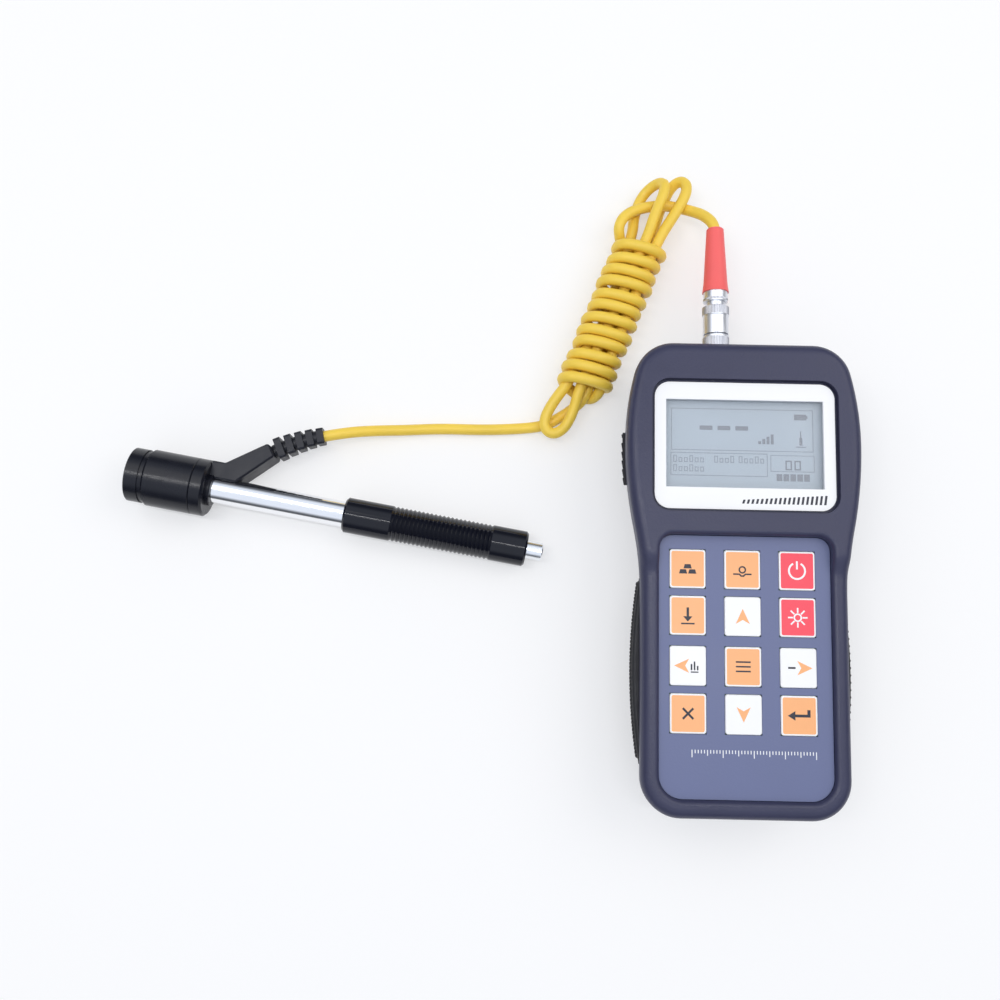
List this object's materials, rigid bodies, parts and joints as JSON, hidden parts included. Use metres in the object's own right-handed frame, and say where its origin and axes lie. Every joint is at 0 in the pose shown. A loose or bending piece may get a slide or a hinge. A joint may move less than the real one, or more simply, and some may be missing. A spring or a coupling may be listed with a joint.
{
  "type": "hardness tester",
  "caption": "Hand-held rebound hardness tester: meter with display and keypad, and a spring-loaded impact device on a plugged lead tied in a hank.",
  "frame": {"origin": "centre of the meter's flat back face, on its middle line and half way along it", "axes": "+Z out of the display, +Y along the meter towards the probe socket, +X to the right of the display; the impact device lies at -X"},
  "size_m": [0.252, 0.2266, 0.034],
  "materials": {
    "housing": "fine matt texture",
    "rubber": "matt",
    "bezel": "printed, smooth",
    "lens": "clear",
    "lcd": "satin, back-lit",
    "module_frame": "satin",
    "light_guide": "milky",
    "overlay": "satin film",
    "key_orange": "satin film",
    "key_white": "satin film",
    "key_red": "satin film",
    "circuit": "solder mask",
    "component": "moulded",
    "dome": "bright",
    "cell": "printed sleeve",
    "contact": "plated",
    "screw": "blackened",
    "plug_metal": "satin nickel",
    "boot": "satin",
    "cord": "satin",
    "black_metal": "black anodised",
    "ring_metal": "black anodised, satin",
    "tube_metal": "bright",
    "bobbin": "natural",
    "winding": "enamelled wire",
    "bush": "turned",
    "inner_steel": "ground",
    "ball": "polished carbide",
    "connector": "satin"
  },
  "bodies": {
    "tester": {"front_shell": "housing", "back_shell": "housing", "grip_right": "rubber", "grip_left": "rubber", "head_pads": "rubber", "display_bezel": "bezel", "display_lens": "lens", "lcd_frame": "module_frame", "lcd_glass": "lcd", "lcd_light_guide": "light_guide", "keypad_circuit": "circuit", "snap_domes": "dome", "keypad_overlay": "overlay", "main_board": "circuit", "board_components": "component", "battery_cells": "cell", "battery_contacts": "contact", "case_screws": "screw", "socket_shell": "plug_metal", "socket_nut": "plug_metal", "plug_body": "plug_metal", "plug_pins": "contact", "plug_collet_nut": "plug_metal", "plug_boot": "boot", "support_ring": "ring_metal", "coil_housing": "black_metal", "housing_cap": "black_metal", "coil_bobbin": "bobbin", "coil_winding": "winding", "guide_tube": "tube_metal", "tube_bush": "bush", "loading_spring": "inner_steel", "impact_spring": "inner_steel", "side_connector": "connector", "strain_relief": "connector", "cord_to_probe": "cord", "cord_to_plug": "cord", "cord_hank": "cord"},
    "loading_sleeve": {"loading_sleeve": "black_metal", "sleeve_end_cap": "black_metal", "chuck_rod": "inner_steel", "catch_chuck": "inner_steel", "button_spring": "inner_steel"},
    "release_button": {"release_button": "tube_metal"},
    "impact_body": {"impact_body": "inner_steel", "test_ball": "ball"},
    "plug_locking_sleeve": {"plug_locking_sleeve": "plug_metal"},
    "battery_cover": {"battery_cover": "housing"},
    "key_material": {"key_material": "key_orange"},
    "key_hardness": {"key_hardness": "key_orange"},
    "key_power": {"key_power": "key_red"},
    "key_direction": {"key_direction": "key_orange"},
    "key_up": {"key_up": "key_white"},
    "key_backlight": {"key_backlight": "key_red"},
    "key_average": {"key_average": "key_white"},
    "key_menu": {"key_menu": "key_orange"},
    "key_delete": {"key_delete": "key_white"},
    "key_escape": {"key_escape": "key_orange"},
    "key_down": {"key_down": "key_white"},
    "key_enter": {"key_enter": "key_orange"}
  },
  "joints": [
    {"name": "key_material_press", "type": "slide", "parent": "tester", "child": "key_material", "axis": [0, 0, -1], "range_m": [0, 0.0003], "stiffness_N_per_m": 3000},
    {"name": "key_hardness_press", "type": "slide", "parent": "tester", "child": "key_hardness", "axis": [0, 0, -1], "range_m": [0, 0.0003], "stiffness_N_per_m": 3000},
    {"name": "key_power_press", "type": "slide", "parent": "tester", "child": "key_power", "axis": [0, 0, -1], "range_m": [0, 0.0003], "stiffness_N_per_m": 3000},
    {"name": "key_direction_press", "type": "slide", "parent": "tester", "child": "key_direction", "axis": [0, 0, -1], "range_m": [0, 0.0003], "stiffness_N_per_m": 3000},
    {"name": "key_up_press", "type": "slide", "parent": "tester", "child": "key_up", "axis": [0, 0, -1], "range_m": [0, 0.0003], "stiffness_N_per_m": 3000},
    {"name": "key_backlight_press", "type": "slide", "parent": "tester", "child": "key_backlight", "axis": [0, 0, -1], "range_m": [0, 0.0003], "stiffness_N_per_m": 3000},
    {"name": "key_average_press", "type": "slide", "parent": "tester", "child": "key_average", "axis": [0, 0, -1], "range_m": [0, 0.0003], "stiffness_N_per_m": 3000},
    {"name": "key_menu_press", "type": "slide", "parent": "tester", "child": "key_menu", "axis": [0, 0, -1], "range_m": [0, 0.0003], "stiffness_N_per_m": 3000},
    {"name": "key_delete_press", "type": "slide", "parent": "tester", "child": "key_delete", "axis": [0, 0, -1], "range_m": [0, 0.0003], "stiffness_N_per_m": 3000},
    {"name": "key_escape_press", "type": "slide", "parent": "tester", "child": "key_escape", "axis": [0, 0, -1], "range_m": [0, 0.0003], "stiffness_N_per_m": 3000},
    {"name": "key_down_press", "type": "slide", "parent": "tester", "child": "key_down", "axis": [0, 0, -1], "range_m": [0, 0.0003], "stiffness_N_per_m": 3000},
    {"name": "key_enter_press", "type": "slide", "parent": "tester", "child": "key_enter", "axis": [0, 0, -1], "range_m": [0, 0.0003], "stiffness_N_per_m": 3000},
    {"name": "sleeve_load", "type": "slide", "parent": "tester", "child": "loading_sleeve", "axis": [-0.9857, 0.165, 0.033], "range_m": [0, 0.034], "stiffness_N_per_m": 400, "deforming": ["loading_spring", "impact_spring"]},
    {"name": "button_press", "type": "slide", "parent": "loading_sleeve", "child": "release_button", "axis": [-0.9857, 0.165, 0.033], "range_m": [0, 0.0025], "stiffness_N_per_m": 600, "deforming": ["button_spring"]},
    {"name": "impact_travel", "type": "slide", "parent": "tester", "child": "impact_body", "axis": [-0.9857, 0.165, 0.033], "range_m": [-0.034, 0]},
    {"name": "plug_unlock", "type": "slide", "parent": "tester", "child": "plug_locking_sleeve", "axis": [0, 1, 0], "range_m": [0, 0.0015], "stiffness_N_per_m": 2000},
    {"name": "cover_slide", "type": "slide", "parent": "tester", "child": "battery_cover", "axis": [0, -1, 0], "range_m": [0, 0.012]}
  ]
}
